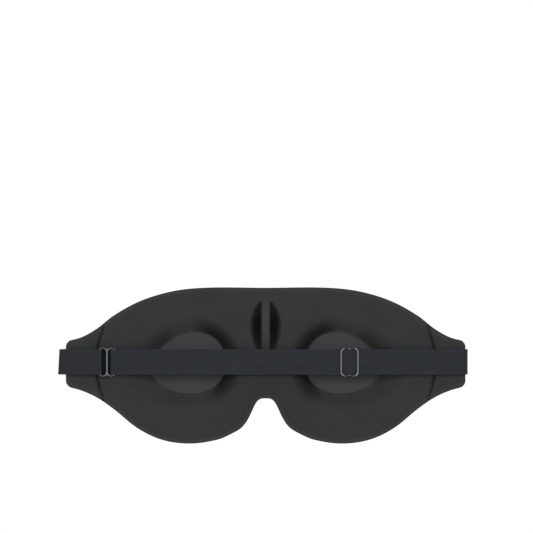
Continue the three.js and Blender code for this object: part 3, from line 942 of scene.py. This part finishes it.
def ribbon(name, path, slant=0):
    """A length of elastic swept along a path in plan, given as (x, y) points. A slant leans its outermost
    turn, so that the lower edge stands further out."""
    path = np.array(path, dtype=float)
    steps = np.linalg.norm(np.diff(path, axis=0), axis=1)
    run = np.concatenate([[0], np.cumsum(steps)])
    along = np.gradient(path, axis=0)
    along /= np.linalg.norm(along, axis=1)[:, None]
    normal = np.stack([-along[:, 1], along[:, 0]], 1)
    section = band_section()
    points, cloth, inset = [], [], []
    for place, square, s in zip(path, normal, run):
        wave = math.sin(place[0] / WAVE_LENGTHS[0]) + WAVE_SHARE * math.sin(place[0] / WAVE_LENGTHS[1] + 1)
        for offset, z, depth in section:
            x, y = place + square * offset
            lean = slant * (1 - z / BAND_WIDTH * 2) / 2 * smooth((x - HALF_WIDTH) / SLANT_RUN)
            points.append((x + lean, y, BAND_CENTRE_Z + z + WAVINESS * wave * (z / BAND_WIDTH)))
            cloth.append((s, z, offset))
            inset.append(depth)
    count = len(section)
    faces = []
    for i in range(len(path) - 1):
        for k in range(count):
            after = (k + 1) % count
            corners = [i * count + k, i * count + after]
            corners += [(i + 1) * count + after, (i + 1) * count + k]
            faces.append(corners)
    last = (len(path) - 1) * count
    faces.append(list(range(count))[::-1])
    faces.append([last + k for k in range(count)])
    # The hollow attribute carries the painted shade of the dive under the left slider's middle bar.
    attributes = {"cloth": cloth, "inset": inset, "hollow": dive_painted_shade(points)}
    made = object_from(name, points, faces, attributes)
    made.data.materials.append(elastic_material)
    return made


def dive_inset(x):
    """How far a place is inside the dive, which reaches further outboard of the bar than inboard."""
    beside = x - LEFT_SLIDER_X
    return np.where(beside > 0, DIVE_OUTER, DIVE_INNER) - np.abs(beside)


def dive_painted_shade(points):
    """How much shade is painted into the band: 1 deep in the gap on each side of the left slider's middle
    bar,
    0 elsewhere.
    """
    x, y, z = np.array(points).T
    return smooth(dive_inset(x) / DIVE_SHADE_EDGE) * (y > DIVE_SHADE_FROM_Y)


ELASTIC_COLOUR = (0.0220, 0.0249, 0.0302)
CORD_PITCH = 0.62
WEFT_PITCH = 0.38
ELASTIC_GAIN = 0.8
CORD_CONTRAST = 0.18
WEFT_CONTRAST = 0.1
ELASTIC_FIBRE_SCALE = 3.2
ELASTIC_FIBRE_CONTRAST = 0.25
STREAK_STRETCH = (0.07, 1.5, 1.0)
STREAK_CONTRAST = 0.75
SELVEDGE_GAIN = 0.16
DIVE_SHADE = 0.93
ELASTIC_BUMP = 0.45
ELASTIC_STEP = 0.12


def woven_elastic():
    """Rubber cords along the band, bound by a fine weft, with long uneven streaks and a paler selvedge.
    Shade is painted in where the band dives under the left slider's middle bar.
    """
    material, place = new_material("ribbed_elastic", 0.8, 0.15)
    length, height = parts_of(place)
    along = length * (2 * math.pi / WEFT_PITCH)
    across = height * (2 * math.pi / CORD_PITCH)
    cords = across.math("ABSOLUTE", across.math("SINE", across * 0.5))
    weft = across.math("ABSOLUTE", across.math("SINE", along * 0.5 + across.math("SINE", across * 0.5)))
    fibre = noise(place, ELASTIC_FIBRE_SCALE, 4)
    drawn = place.node("ShaderNodeVectorMath", {"operation": "MULTIPLY"}, {0: place, 1: STREAK_STRETCH})
    streaks = noise(drawn, 1.0, 3)
    inset = attribute(place, "inset")
    edge = 1 - between(inset, SELVEDGE * 0.8, SELVEDGE * 1.1)
    # The hollow attribute is painted shade, dark in the dive under the left slider's middle bar.
    dive = attribute(place, "hollow")
    gain = ELASTIC_GAIN + cords * CORD_CONTRAST + weft * WEFT_CONTRAST
    gain = gain + (fibre - 0.5) * ELASTIC_FIBRE_CONTRAST + (streaks - 0.5) * STREAK_CONTRAST
    gain = gain * (1 + edge * SELVEDGE_GAIN) * (1 - dive * DIVE_SHADE)
    plug(tinted(ELASTIC_COLOUR, gain), "ShaderNodeBsdfPrincipled", "Base Color")
    relief = cords + weft * 0.5 + fibre * 0.4
    plug(bumped(relief, ELASTIC_BUMP, ELASTIC_STEP), "ShaderNodeBsdfPrincipled", "Normal")
    return material


elastic_material = woven_elastic()


def dive_y(x):
    """The band's Y where it dives under the left slider's middle bar."""
    return BAND_Y - DIVE_DEPTH * smooth(dive_inset(x) / DIVE_EDGE)


near_slider = np.arange(0, RUN_REACH, DIVE_STEP)
far_run = np.arange(LEFT_SLIDER_X - RUN_REACH, -BAND_END_X, -BAND_STEP)
main_x = np.concatenate([LEFT_SLIDER_X - near_slider, far_run, [-BAND_END_X]])
main_run = ribbon("band_long_run", np.stack([main_x, dive_y(main_x)], 1))
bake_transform(main_run)
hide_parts("elastic_band")

outer_run = np.arange(BAND_END_X, LEFT_SLIDER_X + RUN_REACH, -SHORT_STEP)
short_x = np.concatenate([outer_run, LEFT_SLIDER_X + near_slider[::-1]])
short_run = ribbon("band_short_run", np.stack([short_x, dive_y(short_x)], 1))
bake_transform(short_run)
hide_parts("elastic_band")

# ---------------------------------------------------------------------------------------------------------
# Band ends and loops: past the crease the band leans in to the wing, turns round the wing's edge, comes back
# through the slot from the front and doubles under itself. The left loop stands a little further out.
INNER_LAYER_Y = sum(corner.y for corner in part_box("left_strap_tail")) / 2 / MM
TIP_OVERRUN = 0.3
TIP_LAYER_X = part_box("left_band_end")[1].x / MM + TIP_OVERRUN
TIP_LAYER_Y = 1.85
BAND_JOIN = 0.02
FRONT_STANDOFF = 0.55
EDGE_SETBACK = 0.4
LEFT_EDGE_BULGE = 3.4
RIGHT_EDGE_BULGE = 0.9
LEFT_END_SLANT = 0.8
LOOP_TAIL_X = 111.3
EDGE_TURN_STEPS = 29
SLOT_TURN_STEPS = 8
LEAN_STEPS = 24
TAIL_END_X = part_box("left_strap_tail")[0].x / MM


def arc(middle, radii, start, end, steps):
    """Points along an elliptic arc between two angles in degrees."""
    turn = np.linspace(math.radians(start), math.radians(end), steps)
    return [(middle[0] + radii[0] * math.cos(a), middle[1] + radii[1] * math.sin(a)) for a in turn]


def loop_path(bulge):
    """Back layer, edge of the wing, front layer, slot and inner layer."""
    front_run = RIM_FRONT_Y - FRONT_STANDOFF - ELASTIC / 2
    middle_y = (TIP_LAYER_Y + front_run) / 2
    edge_x = HALF_WIDTH - EDGE_SETBACK
    edge_radii = (bulge + EDGE_SETBACK, TIP_LAYER_Y - middle_y)
    path = [(TIP_LAYER_X, TIP_LAYER_Y)]
    path += arc((edge_x, middle_y), edge_radii, 90, -90, EDGE_TURN_STEPS)
    path += arc((SLOT_X + ELASTIC, front_run + ELASTIC), (ELASTIC, ELASTIC), -90, -180, SLOT_TURN_STEPS)
    path += arc((SLOT_X - ELASTIC, INNER_LAYER_Y - ELASTIC), (ELASTIC, ELASTIC), 0, 90, SLOT_TURN_STEPS)
    return path + [(LOOP_TAIL_X, INNER_LAYER_Y)]


def mirrored(path):
    """The same path on the wearer's right, walked the other way."""
    return [(-x, y) for x, y in path][::-1]


for side, hand, bulge in ((1, "left", LEFT_EDGE_BULGE), (-1, "right", RIGHT_EDGE_BULGE)):
    lean_x = np.linspace(TIP_LAYER_X - BAND_JOIN, BAND_END_X + BAND_JOIN, LEAN_STEPS)
    share = (lean_x - BAND_END_X) / (TIP_LAYER_X - BAND_END_X)
    lean = list(zip(lean_x, BAND_Y + (TIP_LAYER_Y - BAND_Y) * smooth(share)))
    loop = loop_path(bulge)
    band_end = ribbon(f"{hand}_leaning_end", lean if side > 0 else mirrored(lean))
    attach(band_end, "strap")
    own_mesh(band_end)
    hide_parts(f"{hand}_band_end")
    turned_path = loop[::-1] if side > 0 else mirrored(loop)[::-1]
    turned = ribbon(f"{hand}_edge_loop", turned_path, slant=LEFT_END_SLANT if side > 0 else 0)
    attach(turned, f"{hand}_wing")
    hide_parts(f"{hand}_strap_loop")

tail_x = np.arange(LOOP_TAIL_X - BAND_JOIN, TAIL_END_X, -1.0)
tail = ribbon("left_doubled_tail", [(x, INNER_LAYER_Y) for x in tail_x])
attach(tail, "strap")
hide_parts("left_strap_tail")

# ---------------------------------------------------------------------------------------------------------
# Sliders: bent wire with a plated gunmetal finish, a rounded ring and a middle bar welded across it. The
# left one shows its bar, with the band under it; the right one lies over the band, with its bar hidden.
WIRE = 1.1
SLIDER_LENGTH = 9.8
SLIDER_CORNER = 2.6
SLIDER_SIDE_GAP = 0.15
LEFT_PINCH = 1.25
RIGHT_PINCH = 0.7
PINCH_REACH = 2.4
PINCH_SHARPNESS = 1.6
ARCH_REACH = 4.0
LOW_BAR_Y = 2.0
HIGH_BAR_Y = 4.4
WIRE_SIDES = 14
CORNER_STEPS = 14
LONG_STEPS = 26
BAR_STEPS = 30
WELD_SWELL = 0.12
WELD_REACH = 0.7
WIRE_SHARP_ANGLE = 60
WIRE_COLOUR = (0.150, 0.155, 0.163)
SCUFF_SCALE = 1.4
SCUFF_WORN = (0.48, 0.72)
WIRE_ROUGHNESS = 0.26


def wire_material():
    """Plated wire, worn paler and a little rougher in patches."""
    material, place = new_material("gunmetal_wire", 0.3, 0.5)
    surface = start_of(material.node_tree, "ShaderNodeBsdfPrincipled")
    surface.socket.node.inputs["Metallic"].default_value = 1.0
    scuffs = noise(place, SCUFF_SCALE, 5)
    worn = between(scuffs, *SCUFF_WORN)
    plug(tinted(WIRE_COLOUR, 0.75 + worn * 0.8), "ShaderNodeBsdfPrincipled", "Base Color")
    plug(WIRE_ROUGHNESS + scuffs * 0.2, "ShaderNodeBsdfPrincipled", "Roughness")
    plug(bumped(scuffs, 0.2, 0.05), "ShaderNodeBsdfPrincipled", "Normal")
    return material


def wire_tube(centres, radii, closed):
    """(points, faces) of a round wire through the centres."""
    centres = np.array(centres, dtype=float)
    if closed:
        along = np.roll(centres, -1, axis=0) - np.roll(centres, 1, axis=0)
    else:
        along = np.gradient(centres, axis=0)
    along /= np.linalg.norm(along, axis=1)[:, None]
    outward = np.cross((0.0, 1.0, 0.0), along)
    outward /= np.linalg.norm(outward, axis=1)[:, None]
    upward = np.cross(along, outward)
    turn = np.linspace(0, 2 * math.pi, WIRE_SIDES, endpoint=False)
    ring = outward[:, None] * np.cos(turn)[None, :, None]
    ring = ring + upward[:, None] * np.sin(turn)[None, :, None]
    points = (centres[:, None] + ring * np.array(radii)[:, None, None]).reshape(-1, 3)
    faces = []
    count = len(centres)
    for i in range(count if closed else count - 1):
        j = (i + 1) % count
        for k in range(WIRE_SIDES):
            m = (k + 1) % WIRE_SIDES
            corners = [i * WIRE_SIDES + k, i * WIRE_SIDES + m]
            corners += [j * WIRE_SIDES + m, j * WIRE_SIDES + k]
            faces.append(corners)
    if not closed:
        last = (count - 1) * WIRE_SIDES
        faces.append(list(range(WIRE_SIDES))[::-1])
        faces.append([last + k for k in range(WIRE_SIDES)])
    return points, faces


def ring_centres(end_y, middle_y, depth):
    """The ring's centreline: straight ends, round corners and sides pinched in to the middle bar."""
    half_length = SLIDER_LENGTH / 2
    half_height = BAND_WIDTH / 2 + SLIDER_SIDE_GAP + WIRE / 2
    corner_x = half_length - SLIDER_CORNER
    corner_z = half_height - SLIDER_CORNER
    radii = (SLIDER_CORNER, SLIDER_CORNER)
    outline = []
    for turn, (sx, sz) in enumerate(((1, 1), (-1, 1), (-1, -1), (1, -1))):
        start = 90 * turn
        outline += arc((sx * corner_x, sz * corner_z), radii, start, start + 90, CORNER_STEPS)
        if turn in (0, 2):
            run = np.linspace(sx * corner_x, -sx * corner_x, LONG_STEPS)[1:-1]
            outline += [(x, sz * half_height) for x in run]
        else:
            run = np.linspace(sz * corner_z, -sz * corner_z, CORNER_STEPS)[1:-1]
            outline += [(sx * half_length, z) for z in run]
    centres = []
    for x, z in outline:
        arch = smooth((abs(x) - WIRE / 4) / (ARCH_REACH - WIRE / 4))
        pinch = depth * max(1 - abs(x) / PINCH_REACH, 0) ** PINCH_SHARPNESS * (abs(z) > corner_z)
        centres.append((x, middle_y + (end_y - middle_y) * arch, z - math.copysign(pinch, z)))
    return centres, half_height - depth


def slider(name, place_x, end_y, middle_y, pinch):
    """The ring and its middle bar, which swells a little at both welds."""
    centres, bar_half = ring_centres(end_y, middle_y, pinch)
    ring_points, ring_faces = wire_tube(centres, [WIRE / 2] * len(centres), True)
    bar_z = np.linspace(-bar_half, bar_half, BAR_STEPS)
    swell = WELD_SWELL * bell((bar_half - np.abs(bar_z)) / WELD_REACH)
    bar_points, bar_faces = wire_tube([(0, middle_y, z) for z in bar_z], WIRE / 2 + swell, False)
    bar_faces = [[i + len(ring_points) for i in face] for face in bar_faces]
    points = np.concatenate([ring_points, bar_points]) + (place_x, 0, BAND_CENTRE_Z)
    cloth = points - (place_x, 0, 0)
    made = object_from(name, points, ring_faces + bar_faces, {"cloth": cloth}, WIRE_SHARP_ANGLE)
    made.data.materials.append(gunmetal)
    return made


gunmetal = wire_material()
left_slider = slider("left_wire_slider", LEFT_SLIDER_X, LOW_BAR_Y, HIGH_BAR_Y, LEFT_PINCH)
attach(left_slider, "left_slider")
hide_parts("left_slider")
right_slider = slider("right_wire_slider", RIGHT_SLIDER_X, HIGH_BAR_Y, LOW_BAR_Y, RIGHT_PINCH)
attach(right_slider, "right_slider")
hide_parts("right_slider")

# ---------------------------------------------------------------------------------------------------------
# Inner layer: on the right the band doubles back under itself from the slot to the slider's middle bar, and
# turns up round it.
BAR_CLEARANCE = 0.25
BAR_TURN_STEPS = 12

turn_radius = WIRE / 2 + BAR_CLEARANCE + ELASTIC / 2
layer_x = np.arange(-LOOP_TAIL_X + BAND_JOIN, RIGHT_SLIDER_X, BAND_STEP)
layer_path = [(x, INNER_LAYER_Y) for x in layer_x]
layer_path += arc((RIGHT_SLIDER_X, LOW_BAR_Y), (turn_radius, turn_radius), -90, 0, BAR_TURN_STEPS)
inner_layer = ribbon("right_doubled_layer", layer_path[::-1])
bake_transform(inner_layer)
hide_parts("right_inner_layer")
